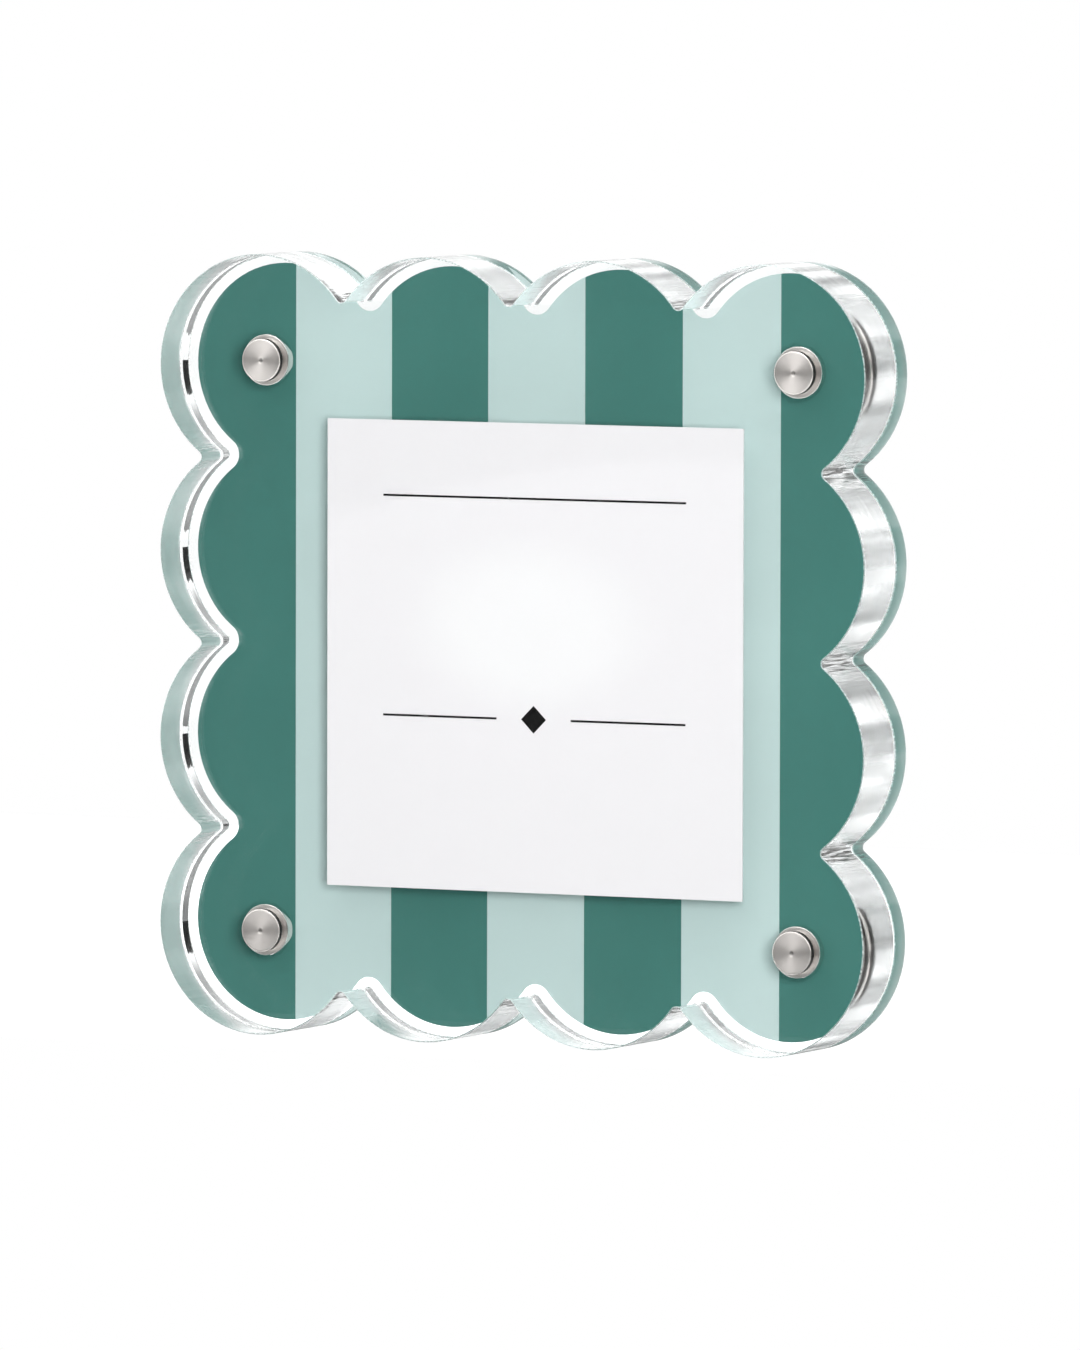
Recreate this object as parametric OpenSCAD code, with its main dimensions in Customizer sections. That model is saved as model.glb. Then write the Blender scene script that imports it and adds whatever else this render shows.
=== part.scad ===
// Magnetic photo frame: a thick clear front block and a thinner clear rear panel with the same
// scalloped outline. A striped print covers the back of the rear panel, a square photo is held
// in the thin gap between the two, and four pairs of disc magnets hold them together.
// Millimetres. The origin is on the surface that the frame stands on, in the middle of its width
// and depth. X runs to the viewer's right, Y to the back and Z up.

/* [Outline] */
// Overall width
frame_w = 127; // [110:1:160]
// Overall height
frame_h = 127; // [110:1:160]
// Radius of each round lobe
lobe_r = 18; // [17:0.5:20]
// Radius that rounds the notch between two lobes
notch_r = 1; // [0.6:0.1:2]
// Widest distance between the centres of two neighbouring lobes, which sets how many there are
lobe_spacing = 32; // [30:0.5:34]

/* [Panels] */
// Thickness of the clear front block
front_t = 11.5; // [8:0.5:16]
// Thickness of the clear rear panel
rear_t = 4; // [3.5:0.1:8]
// Width of the polished bevel along the edges of both
edge_bevel = 0.15; // [0.1:0.05:0.5]

/* [Print] */
// Width of one stripe
stripe_w = 17.5; // [14:0.5:18]
// Clear margin between the print and the edge of the rear panel
print_margin = 1.7; // [1:0.1:4]
// Thickness of one layer of ink
ink_t = 0.1; // [0.05:0.05:0.3]

/* [Photo] */
// Width of the photo card
photo_w = 75; // [50:1:80]
// Height of the photo card
photo_h = 76; // [50:1:80]
// Thickness of the photo card
photo_t = 0.3; // [0.2:0.05:0.6]
// How far the photo card sits to the right of the middle
photo_shift = 1; // [-2:0.5:2]
// How far the photo card sits below the middle
photo_drop = 1.2; // [-2:0.2:2]

/* [Magnets] */
// Distance from the left or right edge of the frame to the middle of a magnet
magnet_inset_x = 15.5; // [13:0.5:19]
// Distance from the lower or upper edge of the frame to the middle of a magnet
magnet_inset_z = 17; // [13:0.5:19]
// How far the magnets sit below the places that this gives, all four alike
magnet_drop = 0.5; // [-1:0.1:1]
// Diameter of the magnets in the front block
front_magnet_d = 7; // [5:0.5:9]
// Thickness of the magnets in the front block
front_magnet_t = 2.2; // [1.5:0.1:4]
// Diameter of the magnets in the rear panel
rear_magnet_d = 8.5; // [5:0.5:10]
// Thickness of the magnets in the rear panel
rear_magnet_t = 2.5; // [1.5:0.1:2.8]
// Width of the bevel round each magnet
magnet_bevel = 0.25; // [0.1:0.05:0.4]

/* [Hidden] */
$fn = 96;

// Lobes along the width and along the height, the corner lobes included
lobes_x = ceil((frame_w - 2 * lobe_r) / lobe_spacing) + 1;
lobes_z = ceil((frame_h - 2 * lobe_r) / lobe_spacing) + 1;
// Distance between the centres of two neighbouring lobes
pitch_x = (frame_w - 2 * lobe_r) / (lobes_x - 1);
pitch_z = (frame_h - 2 * lobe_r) / (lobes_z - 1);
// Centre of a corner lobe
corner_x = frame_w / 2 - lobe_r;
corner_z = frame_h / 2 - lobe_r;

// Air left on each side of the photo card
photo_play = 0.05;
gap_t = photo_t + 2 * photo_play;
// Glue all round each magnet
glue_t = 0.05;

// Where each layer starts, from the front to the back
depth = front_t + gap_t + rear_t + 2 * ink_t;
front_y = -depth / 2;
gap_y = front_y + front_t;
rear_y = gap_y + gap_t;
ink_y = rear_y + rear_t;
backing_y = ink_y + ink_t;
mid_z = frame_h / 2;

LEFT = -1;
RIGHT = 1;
LOWER = -1;
UPPER = 1;
INWARD = -1;
OUTWARD = 1;

// Lays a flat-lying piece against the depth y, with its underside to the front.
module upright(y) {
    translate([0, y, mid_z])
        rotate([-90, 0, 0])
            mirror([0, 1, 0])
                children();
}

// An edge is a list of [inset, height] pairs, from the underside of a piece to its top. This one is
// upright, and lies inside the frame's edge by the inset.
function plain_edge(t, inset) = [[inset, 0], [inset, t]];

// An edge with a bevel of width b at both ends.
function bevelled_edge(t, b) = [[b, 0], [0, b], [0, t - b], [b, t]];

function thickness(edge) = edge[len(edge) - 1].y;

// A round solid of radius r. Its edge is inset inwards, or outwards on one that hollows a piece.
module turned(edge, r, way) {
    rotate_extrude()
        polygon([
            [0, 0],
            for (step = edge) [r + way * step.x, step.y],
            [0, thickness(edge)],
        ]);
}

// The scalloped outline as a slab with this edge. Where the inset makes a lobe smaller, it makes the
// hollow of a notch larger by as much, so they stay tangent.
module scalloped_slab(edge) {
    linear_extrude(thickness(edge))
        square([2 * corner_x, 2 * corner_z], center = true);
    for (i = [0 : lobes_x - 1], side = [LOWER, UPPER])
        translate([i * pitch_x - corner_x, side * corner_z])
            turned(edge, lobe_r, INWARD);
    for (i = [1 : lobes_z - 2], side = [LEFT, RIGHT])
        translate([side * corner_x, i * pitch_z - corner_z])
            turned(edge, lobe_r, INWARD);
    for (turn = [0, 180])
        rotate(turn) {
            for (i = [0 : lobes_x - 2])
                translate([(i + 0.5) * pitch_x - corner_x, corner_z])
                    notch_web(edge, pitch_x);
            for (i = [0 : lobes_z - 2])
                translate([-corner_x, (i + 0.5) * pitch_z - corner_z])
                    rotate(90)
                        notch_web(edge, pitch_z);
        }
}

// The solid corner between two lobes, with its outer end hollowed by the notch's radius. Its two side
// corners are the centres of the lobes, pitch apart, and its inner end lies within the slab.
module notch_web(edge, pitch) {
    reach = sqrt(pow(lobe_r + notch_r, 2) - pow(pitch / 2, 2));
    difference() {
        linear_extrude(thickness(edge))
            polygon([[-pitch / 2, 0], [0, -reach], [pitch / 2, 0], [0, reach]]);
        translate([0, reach])
            turned(edge, notch_r, OUTWARD);
    }
}

// A clear panel with bevelled edges.
module panel(t) {
    scalloped_slab(bevelled_edge(t, edge_bevel));
}

// Puts a piece at one magnet place, in a piece that lies flat.
module at_magnet(x, z) {
    translate([x * (frame_w / 2 - magnet_inset_x), z * (frame_h / 2 - magnet_inset_z) - magnet_drop])
        children();
}

// The round blind pockets for four magnets, from the height h upwards.
module pockets(h, d, t) {
    for (x = [LEFT, RIGHT], z = [LOWER, UPPER])
        at_magnet(x, z)
            translate([0, 0, h])
                cylinder(h = t, d = d + 2 * glue_t);
}

// A disc magnet with bevelled edges.
module magnet(d, t) {
    turned(bevelled_edge(t, magnet_bevel), d / 2, INWARD);
}

module front_block() {
    color("aliceblue", 0.3)
        upright(front_y)
            difference() {
                panel(front_t);
                pockets(front_t - front_magnet_t - glue_t, front_magnet_d, front_magnet_t + 2 * glue_t);
            }
}

module rear_panel() {
    color("aliceblue", 0.3)
        upright(rear_y)
            difference() {
                panel(rear_t);
                pockets(-glue_t, rear_magnet_d, rear_magnet_t + 2 * glue_t);
            }
}

// The dark stripes are the ink that the pale ones leave free.
module dark_stripes() {
    color("#447770")
        upright(ink_y)
            difference() {
                scalloped_slab(plain_edge(ink_t, print_margin));
                pale_bands();
            }
}

module pale_stripes() {
    color("#BCD5D2")
        upright(ink_y)
            intersection() {
                scalloped_slab(plain_edge(ink_t, print_margin));
                pale_bands();
            }
}

// Every second stripe, with a pale one in the middle.
module pale_bands() {
    for (i = [-1 : 1])
        translate([2 * i * stripe_w, 0])
            cube([stripe_w, 2 * frame_h, 3 * ink_t], center = true);
}

module white_backing() {
    color("white")
        upright(backing_y)
            scalloped_slab(plain_edge(ink_t, print_margin));
}

module photo_card() {
    color("whitesmoke")
        upright(gap_y + photo_play)
            translate([photo_shift, -photo_drop])
                linear_extrude(photo_t)
                    square([photo_w, photo_h], center = true);
}

module front_magnet(x, z) {
    color("silver")
        upright(gap_y - front_magnet_t)
            at_magnet(x, z)
                magnet(front_magnet_d, front_magnet_t);
}

module rear_magnet(x, z) {
    color("silver")
        upright(rear_y)
            at_magnet(x, z)
                magnet(rear_magnet_d, rear_magnet_t);
}

front_block();
rear_panel();
dark_stripes();
pale_stripes();
white_backing();
photo_card();
front_magnet(LEFT, UPPER);  // front_magnet_upper_left
front_magnet(RIGHT, UPPER);  // front_magnet_upper_right
front_magnet(LEFT, LOWER);  // front_magnet_lower_left
front_magnet(RIGHT, LOWER);  // front_magnet_lower_right
rear_magnet(LEFT, UPPER);  // rear_magnet_upper_left
rear_magnet(RIGHT, UPPER);  // rear_magnet_upper_right
rear_magnet(LEFT, LOWER);  // rear_magnet_lower_left
rear_magnet(RIGHT, LOWER);  // rear_magnet_lower_right
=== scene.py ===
import math

import bmesh
import bpy
from bpy.props import FloatProperty, FloatVectorProperty, IntProperty, PointerProperty
from mathutils import Matrix, Vector


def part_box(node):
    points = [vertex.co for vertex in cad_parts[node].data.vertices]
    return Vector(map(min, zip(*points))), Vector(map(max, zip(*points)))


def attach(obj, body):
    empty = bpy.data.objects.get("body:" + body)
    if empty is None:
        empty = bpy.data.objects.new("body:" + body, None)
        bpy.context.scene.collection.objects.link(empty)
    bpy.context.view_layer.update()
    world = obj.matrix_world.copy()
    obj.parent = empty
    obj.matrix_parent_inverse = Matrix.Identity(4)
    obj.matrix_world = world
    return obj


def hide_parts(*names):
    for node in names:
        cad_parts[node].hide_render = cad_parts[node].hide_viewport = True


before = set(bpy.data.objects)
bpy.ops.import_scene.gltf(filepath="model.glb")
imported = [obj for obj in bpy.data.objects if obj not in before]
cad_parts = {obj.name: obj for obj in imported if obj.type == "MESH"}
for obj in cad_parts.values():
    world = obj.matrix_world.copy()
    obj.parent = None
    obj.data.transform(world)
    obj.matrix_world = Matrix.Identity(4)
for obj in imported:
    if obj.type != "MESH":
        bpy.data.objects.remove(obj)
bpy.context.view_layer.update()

bl_info = {
    "name": "Magnetic Photo Frame",
    "version": (1, 0, 0),
    "blender": (4, 5, 0),
    "location": "3D View > Sidebar > Photo Frame",
    "description": "A scalloped clear photo frame with a striped print, a photo card and disc magnets",
    "category": "Add Mesh",
}

MM = 0.001

# Node kinds and settings that come up often, and where most of a noise's values lie.
MATH = "ShaderNodeMath"
MAP_RANGE = "ShaderNodeMapRange"
NOISE = "ShaderNodeTexNoise"
SMOOTH = {"interpolation_type": "SMOOTHSTEP"}
NOISE_SPAN = {"From Min": 0.3, "From Max": 0.7}

# Numbers of a colour mix's inputs, for its share and its two colours, and of its output.
SHARE, FIRST, SECOND = 0, 6, 7
MIXED = 2

# Where the fixed frame has each layer. Y runs from the front to the back.
BLOCK_LOW, BLOCK_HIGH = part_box("front_block")
PANEL_LOW, PANEL_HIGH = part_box("rear_panel")
PRINT_LOW, PRINT_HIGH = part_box("dark_stripes")
BACKING_LOW, BACKING_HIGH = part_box("white_backing")
CARD_LOW, CARD_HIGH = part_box("photo_card")
FRONT_DISC_LOW, FRONT_DISC_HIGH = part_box("front_magnet_upper_right")
REAR_DISC_LOW, REAR_DISC_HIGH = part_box("rear_magnet_upper_right")
LOWER_DISC_LOW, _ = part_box("rear_magnet_lower_right")
DISCS_MIDDLE_Z = (LOWER_DISC_LOW.z + REAR_DISC_HIGH.z) / 2
MIDDLE_Z = (BLOCK_LOW.z + BLOCK_HIGH.z) / 2
JOINT_Y = (BLOCK_HIGH.y + PANEL_LOW.y) / 2
CORNERS = ("upper_left", "upper_right", "lower_left", "lower_right")

# The outline is four quarter turns of six arcs: the corner lobe, then notches and lobes by turns.
QUARTERS = 4
ARCS_IN_QUARTER = 6
HALF_PITCHES_TO_CORNER = 3
RIGHT_ANGLE = math.pi / 2
# Edges that turn by more than this stay crisp.
CRISP_ANGLE = math.radians(20)

# Points nearer than this are one point.
TOUCHING = 0.001 * MM

# How far ink and metal reach into the acrylic, so that light meets them with no air between.
CONTACT = 0.02 * MM

# How strongly cast acrylic bends light.
ACRYLIC_IOR = 1.49

# The photograph's viewpoint, found from the outline, the print and the card.
IMAGE_WIDTH = 1080
IMAGE_HEIGHT = 1350
SENSOR = 36.0
VIEW_AZIMUTH = math.radians(26.58)
VIEW_ELEVATION = math.radians(3.69)
VIEW_ROLL = math.radians(0.121)
VIEW_DISTANCE = 2422.5 * MM
VIEW_RIGHT = 5.17 * MM
VIEW_UP = -3.47 * MM
PIXELS_PER_METRE = 6209.0

# Each lamp's place from the middle of the frame and its size, in metres, and whether gloss and glass
# show it.
LAMPS = {
    "key": ((0.7, -1.42, 0.16), 0.65, False),
    "upper": ((-0.25, -0.93, 0.65), 0.6, True),
    "top": ((0.1, -0.1, 0.8), 0.6, True),
    "back": ((-0.5, 0.9, 0.5), 0.5, False),
    "left": ((-1.0, 0.3, 0.1), 0.5, False),
    "right": ((1.0, 0.35, 0.1), 0.5, False),
}
# Light is mirrored many times within the acrylic before it leaves.
BOUNCES = {"max_bounces": 24, "glossy_bounces": 16, "transmission_bounces": 24}

# How far the floor reaches, in metres. It ends close in front, so that the front face, which the
# viewer sees at a low angle, doesn't mirror it.
FLOOR_SIDE = 0.4
FLOOR_FRONT = -0.03
FLOOR_BACK = 0.4
# Its glow, which the lamps' light brings up to white.
FLOOR_GLOW = 0.84

# The doorway that the acrylic mirrors, seen from the frame: its middle and half its width along x over
# y, and its middle and half its height along z.
DOOR_ACROSS = (0.7, 0.42)
DOOR_UP = (0.09, 0.14)


def linear(code):
    """The linear colour, with alpha, of an sRGB hex code."""
    shares = [int(code[i : i + 2], 16) / 255 for i in (1, 3, 5)]
    return [s / 12.92 if s <= 0.04045 else ((s + 0.055) / 1.055) ** 2.4 for s in shares] + [1.0]


def length_setting(name, description, default):
    """A length that can be set."""
    return FloatProperty(name=name, description=description, default=default, unit="LENGTH")


def colour_setting(name, description, code):
    """A colour that can be set."""
    return FloatVectorProperty(
        name=name, description=description, default=linear(code), size=4, subtype="COLOR")


def power_setting(name, lamp, default):
    """A lamp's power, which can be set."""
    return FloatProperty(name=name, description=f"Power of {lamp}, in watts", default=default)


class PanelSizes(bpy.types.PropertyGroup):
    """Sizes of the two clear panels."""

    side: length_setting("Side", "Width and height of both panels", BLOCK_HIGH.x - BLOCK_LOW.x)
    lobe_radius: length_setting("Lobe radius", "Radius of each round lobe", 18 * MM)
    notch_radius: length_setting("Notch radius", "Radius that rounds the notch between two lobes", 1 * MM)
    bevel: length_setting("Bevel", "Width of the bevel along each edge", 0.15 * MM)
    arc_steps: IntProperty(
        name="Arc steps", description="Straight steps in each lobe and each notch", default=40, min=4)


class PrintSizes(bpy.types.PropertyGroup):
    """Sizes and colours of the striped print."""

    margin: length_setting("Margin", "Clear margin between the print and the panel's edge", 1.7 * MM)
    stripe: length_setting("Stripe", "Width of one stripe", 17.5 * MM)
    pale_stripes: IntProperty(
        name="Pale stripes", description="Number of pale stripes", default=3, min=1)
    dark_colour: colour_setting("Dark ink", "Colour of the dark stripes", "#4C827A")
    pale_colour: colour_setting("Pale ink", "Colour of the pale stripes", "#CEE2E0")


class CardSizes(bpy.types.PropertyGroup):
    """Sizes and colours of the photo card."""

    corner: length_setting("Corner", "Radius of the card's corners", 0.15 * MM)
    rule: length_setting("Rule", "Thickness of a printed rule", 0.35 * MM)
    lozenge: length_setting("Lozenge", "Width of the plain lozenge between the lower rules", 4.5 * MM)
    colour: colour_setting("Card", "Colour of the coated card", "#F4F2F4")
    ink_colour: colour_setting("Black ink", "Colour of the rules", "#141414")


class MagnetSizes(bpy.types.PropertyGroup):
    """Sizes and colours of the disc magnets."""

    rounding: length_setting("Rounding", "Radius that rounds the discs' edges", 0.25 * MM)
    dimple: length_setting("Dimple", "Radius of the dimple in the middle of an end face", 0.22 * MM)
    groove: length_setting(
        "Groove", "Distance between two turned grooves, coarser than real ones", 0.16 * MM)
    turn_steps: IntProperty(
        name="Turn steps", description="Straight steps round a disc", default=96, min=12)
    colour: colour_setting("Nickel", "Colour of the nickel plate", "#E2DCD8")
    # Painted shade: a dark colour on the front discs' sides, for the shade that their pockets throw.
    painted_shade_colour: colour_setting("Glue", "Colour of the painted shade on the front discs' sides", "#1C1A19")


class StudioSizes(bpy.types.PropertyGroup):
    """Light of the studio."""

    key_power: power_setting("Key light", "the large lamp in front", 21.8)
    upper_power: power_setting("Upper light", "the lamp high in front", 2.2)
    top_power: power_setting("Top light", "the lamp overhead", 2.0)
    left_power: power_setting("Left light", "the lamp on the left", 10.0)
    right_power: power_setting("Right light", "the lamp on the right", 4.5)
    back_power: power_setting("Back light", "the lamp behind the frame", 6.0)
    surround: FloatProperty(
        name="Surround", description="Strength of the light that comes from all sides", default=0.2)


def add(tree, kind, *inputs, **settings):
    """Adds a node with these settings and fills its inputs in order. An input is a value, a socket or
    a node, whose first shown output is linked. None leaves one as it is, and a dictionary goes by the
    inputs' names or numbers."""
    node = tree.nodes.new(kind)
    for name, value in settings.items():
        setattr(node, name, value)
    places = []
    for place, value in enumerate(inputs):
        places += value.items() if isinstance(value, dict) else [(place, value)]
    for place, value in places:
        if isinstance(value, bpy.types.Node):
            value = next(socket for socket in value.outputs if socket.enabled)
        if isinstance(value, bpy.types.NodeSocket):
            tree.links.new(value, node.inputs[place])
        elif value is not None:
            node.inputs[place].default_value = value
    return node


def grown_tree(name, inputs):
    """A new geometry node tree with named inputs and one geometry output, and its input sockets."""
    tree = bpy.data.node_groups.new(name, "GeometryNodeTree")
    for label, kind in inputs.items():
        tree.interface.new_socket(label, in_out="INPUT", socket_type="NodeSocket" + kind)
    tree.interface.new_socket("Geometry", in_out="OUTPUT", socket_type="NodeSocketGeometry")
    return tree, add(tree, "NodeGroupInput").outputs


def placed(name, data):
    """A new object in the scene, at the origin."""
    item = bpy.data.objects.new(name, data)
    bpy.context.scene.collection.objects.link(item)
    return item


def built(name, mesh):
    """A new object with a finished bmesh, which is freed."""
    data = bpy.data.meshes.new(name)
    mesh.to_mesh(data)
    mesh.free()
    return placed(name, data)


def grow(name, tree, values):
    """A piece with the plain mesh that the tree makes from these values."""
    piece = placed(name, bpy.data.meshes.new(name))
    modifier = piece.modifiers.new(tree.name, "NODES")
    modifier.node_group = tree
    for socket in tree.interface.items_tree:
        if socket.name in values:
            modifier[socket.identifier] = values[socket.name]
    graph = bpy.context.evaluated_depsgraph_get()
    mesh = bpy.data.meshes.new_from_object(piece.evaluated_get(graph))
    piece.modifiers.remove(modifier)
    piece.data = mesh
    drop_empty_slots(mesh)
    if not mesh.polygons:
        raise RuntimeError(f"{name} came out empty")
    return piece


def drop_empty_slots(mesh):
    """Takes out the material slots that a tree leaves empty."""
    kept = [place for place, material in enumerate(mesh.materials) if material]
    materials = [mesh.materials[place] for place in kept]
    places = [kept.index(face.material_index) for face in mesh.polygons]
    mesh.materials.clear()
    for material in materials:
        mesh.materials.append(material)
    mesh.polygons.foreach_set("material_index", places)


def seat(piece, body, slot, *nodes):
    """Lets a piece ride on its body and stand for its CAD nodes, which it hides. slot is not used."""
    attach(piece, body)
    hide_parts(*nodes)


SLAB_INPUTS = {
    "Side": "Float",
    "Lobe Radius": "Float",
    "Notch Radius": "Float",
    "Margin": "Float",
    "Bevel": "Float",
    "Thickness": "Float",
    "Back": "Float",
    "Arc Steps": "Int",
}


def slab_values(sizes, **others):
    """The slab's inputs that all layers share, and others."""
    return {
        "Side": sizes.side,
        "Lobe Radius": sizes.lobe_radius,
        "Notch Radius": sizes.notch_radius,
        "Arc Steps": sizes.arc_steps,
    } | others


def scalloped_slab():
    """Node group: a slab with the scalloped outline, standing upright with its back at Back. Its edge
    lies inside the frame's by Margin, and by Bevel more at its faces."""
    tree, given = grown_tree("Scalloped slab", SLAB_INPUTS)
    half_side = add(tree, MATH, given["Side"], 0.5, operation="MULTIPLY")
    line = add(tree, MATH, half_side, given["Lobe Radius"], operation="SUBTRACT")
    half_pitch = add(tree, MATH, line, HALF_PITCHES_TO_CORNER, operation="DIVIDE")
    between = add(tree, MATH, given["Lobe Radius"], given["Notch Radius"], operation="ADD")
    spread_sine = add(tree, MATH, half_pitch, between, operation="DIVIDE")
    spread = add(tree, MATH, spread_sine, operation="ARCSINE")
    spread_cosine = add(tree, MATH, spread, operation="COSINE")
    reach = add(tree, MATH, between, spread_cosine, operation="MULTIPLY")

    # Which arc a point is on, and how far along it.
    arcs = QUARTERS * ARCS_IN_QUARTER
    points = add(tree, MATH, given["Arc Steps"], arcs, operation="MULTIPLY")
    place = add(tree, MATH, add(tree, "GeometryNodeInputIndex"), points, operation="MODULO")
    arc_place = add(tree, MATH, place, given["Arc Steps"], operation="DIVIDE")
    arc = add(tree, MATH, arc_place, operation="FLOOR")
    share = add(tree, MATH, arc_place, operation="FRACT")
    quarter_place = add(tree, MATH, arc, ARCS_IN_QUARTER, operation="DIVIDE")
    quarter = add(tree, MATH, quarter_place, operation="FLOOR")
    number = add(tree, MATH, arc, ARCS_IN_QUARTER, operation="MODULO")
    notch = add(tree, MATH, number, 2.0, operation="MODULO")
    corner = add(tree, MATH, number, 0.5, operation="LESS_THAN")

    # A lobe turns to the left by twice the spread, and a corner lobe by a right angle more.
    lobe_turn = add(tree, MATH, corner, RIGHT_ANGLE, operation="MULTIPLY")
    lobe_turn = add(tree, MATH, spread, 2.0, lobe_turn, operation="MULTIPLY_ADD")
    share_left = add(tree, MATH, 1.0, share, operation="SUBTRACT")
    lobe_left = add(tree, MATH, lobe_turn, share_left, operation="MULTIPLY")
    lobe_end = add(tree, MATH, spread, RIGHT_ANGLE, operation="ADD")
    lobe_angle = add(tree, MATH, lobe_end, lobe_left, operation="SUBTRACT")
    notch_share = add(tree, MATH, share, -2.0, 1.0, operation="MULTIPLY_ADD")
    notch_angle = add(tree, MATH, spread, notch_share, -RIGHT_ANGLE, operation="MULTIPLY_ADD")
    angle = add(
        tree, MAP_RANGE, {"Value": notch, "To Min": lobe_angle, "To Max": notch_angle},
        clamp=False)

    # The four rings of points are the back edge, the two ends of the wall and the front edge.
    ring = add(
        tree, "GeometryNodeMeshCylinder",
        {"Vertices": points, "Side Segments": 3, "Radius": 1.0, "Depth": 1.0}, fill_type="NGON")
    height = add(tree, "ShaderNodeSeparateXYZ", add(tree, "GeometryNodeInputPosition")).outputs["Z"]
    in_front = add(tree, MATH, height, 0.0, operation="GREATER_THAN")
    from_middle = add(tree, MATH, height, operation="ABSOLUTE")
    at_face = add(tree, MATH, from_middle, 0.4, operation="GREATER_THAN")
    margin = add(tree, MATH, at_face, given["Bevel"], given["Margin"], operation="MULTIPLY_ADD")
    on_wall = add(tree, MATH, 1.0, at_face, operation="SUBTRACT")
    step = add(tree, MATH, on_wall, given["Bevel"], operation="MULTIPLY")
    front_step = add(tree, MATH, given["Thickness"], step, operation="SUBTRACT")
    level = add(
        tree, MAP_RANGE, {"Value": in_front, "To Min": step, "To Max": front_step},
        clamp=False)

    lobe_edge = add(tree, MATH, given["Lobe Radius"], margin, operation="SUBTRACT")
    notch_edge = add(tree, MATH, given["Notch Radius"], margin, operation="ADD")
    radius = add(
        tree, MAP_RANGE, {"Value": notch, "To Min": lobe_edge, "To Max": notch_edge},
        clamp=False)
    minus_pitch = add(tree, MATH, half_pitch, -1.0, operation="MULTIPLY")
    centre_x = add(tree, MATH, number, minus_pitch, line, operation="MULTIPLY_ADD")
    centre_y = add(tree, MATH, notch, reach, line, operation="MULTIPLY_ADD")
    cosine = add(tree, MATH, angle, operation="COSINE")
    sine = add(tree, MATH, angle, operation="SINE")
    x = add(tree, MATH, radius, cosine, centre_x, operation="MULTIPLY_ADD")
    y = add(tree, MATH, radius, sine, centre_y, operation="MULTIPLY_ADD")
    turn = add(tree, MATH, quarter, RIGHT_ANGLE, operation="MULTIPLY")
    point = add(
        tree, "ShaderNodeVectorRotate",
        {"Vector": add(tree, "ShaderNodeCombineXYZ", x, y, level), "Angle": turn},
        rotation_type="Z_AXIS")
    slab = add(tree, "GeometryNodeSetPosition", ring.outputs["Mesh"], {"Position": point})
    # With no bevel two rings lie on each other.
    slab = add(tree, "GeometryNodeMergeByDistance", slab, {"Distance": TOUCHING})
    add(tree, "NodeGroupOutput", stood_up(tree, slab, given["Back"], MIDDLE_Z))
    return tree


def stood_up(tree, flat, back, height):
    """Stands a flat-lying piece upright, with its underside at back and its middle at this height."""
    place = add(tree, "ShaderNodeCombineXYZ", 0.0, back, height)
    return add(
        tree, "GeometryNodeTransform", flat,
        {"Translation": place, "Rotation": (RIGHT_ANGLE, 0.0, 0.0)})


CORNER_INPUTS = {"Disc": "Object", "Half Across": "Float", "Half Up": "Float", "Disc Back": "Float"}


def corner_discs():
    """Node group: a disc at each of the four magnet places, standing upright."""
    tree, given = grown_tree("Corner discs", CORNER_INPUTS)
    across = add(tree, MATH, given["Half Across"], 2.0, operation="MULTIPLY")
    up = add(tree, MATH, given["Half Up"], 2.0, operation="MULTIPLY")
    places = add(tree, "GeometryNodeMeshGrid", across, up, 2, 2)
    disc = add(tree, "GeometryNodeObjectInfo", given["Disc"]).outputs["Geometry"]
    discs = add(tree, "GeometryNodeInstanceOnPoints", places, {"Instance": disc})
    discs = add(tree, "GeometryNodeRealizeInstances", discs)
    add(tree, "NodeGroupOutput", stood_up(tree, discs, given["Disc Back"], DISCS_MIDDLE_Z))
    return tree


def grouped(tree, group, given):
    """Adds a node group whose inputs are linked to the tree's inputs of the same names."""
    names = [socket.name for socket in group.interface.items_tree if socket.in_out == "INPUT"]
    node = tree.nodes.new("GeometryNodeGroup")
    node.node_tree = group
    for name in names:
        tree.links.new(given[name], node.inputs[name])
    return node


def finished(tree, mesh, material):
    """Ends a tree: crisp edges, no instances, one material."""
    turn = add(tree, "GeometryNodeInputMeshEdgeAngle").outputs["Unsigned Angle"]
    crisp = add(tree, "FunctionNodeCompare", turn, CRISP_ANGLE, operation="GREATER_THAN")
    mesh = add(tree, "GeometryNodeSetShadeSmooth", mesh, None, True, domain="FACE")
    mesh = add(tree, "GeometryNodeSetShadeSmooth", mesh, crisp, False, domain="EDGE")
    mesh = add(tree, "GeometryNodeRealizeInstances", mesh)
    return add(tree, "GeometryNodeSetMaterial", mesh, None, material)


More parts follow.
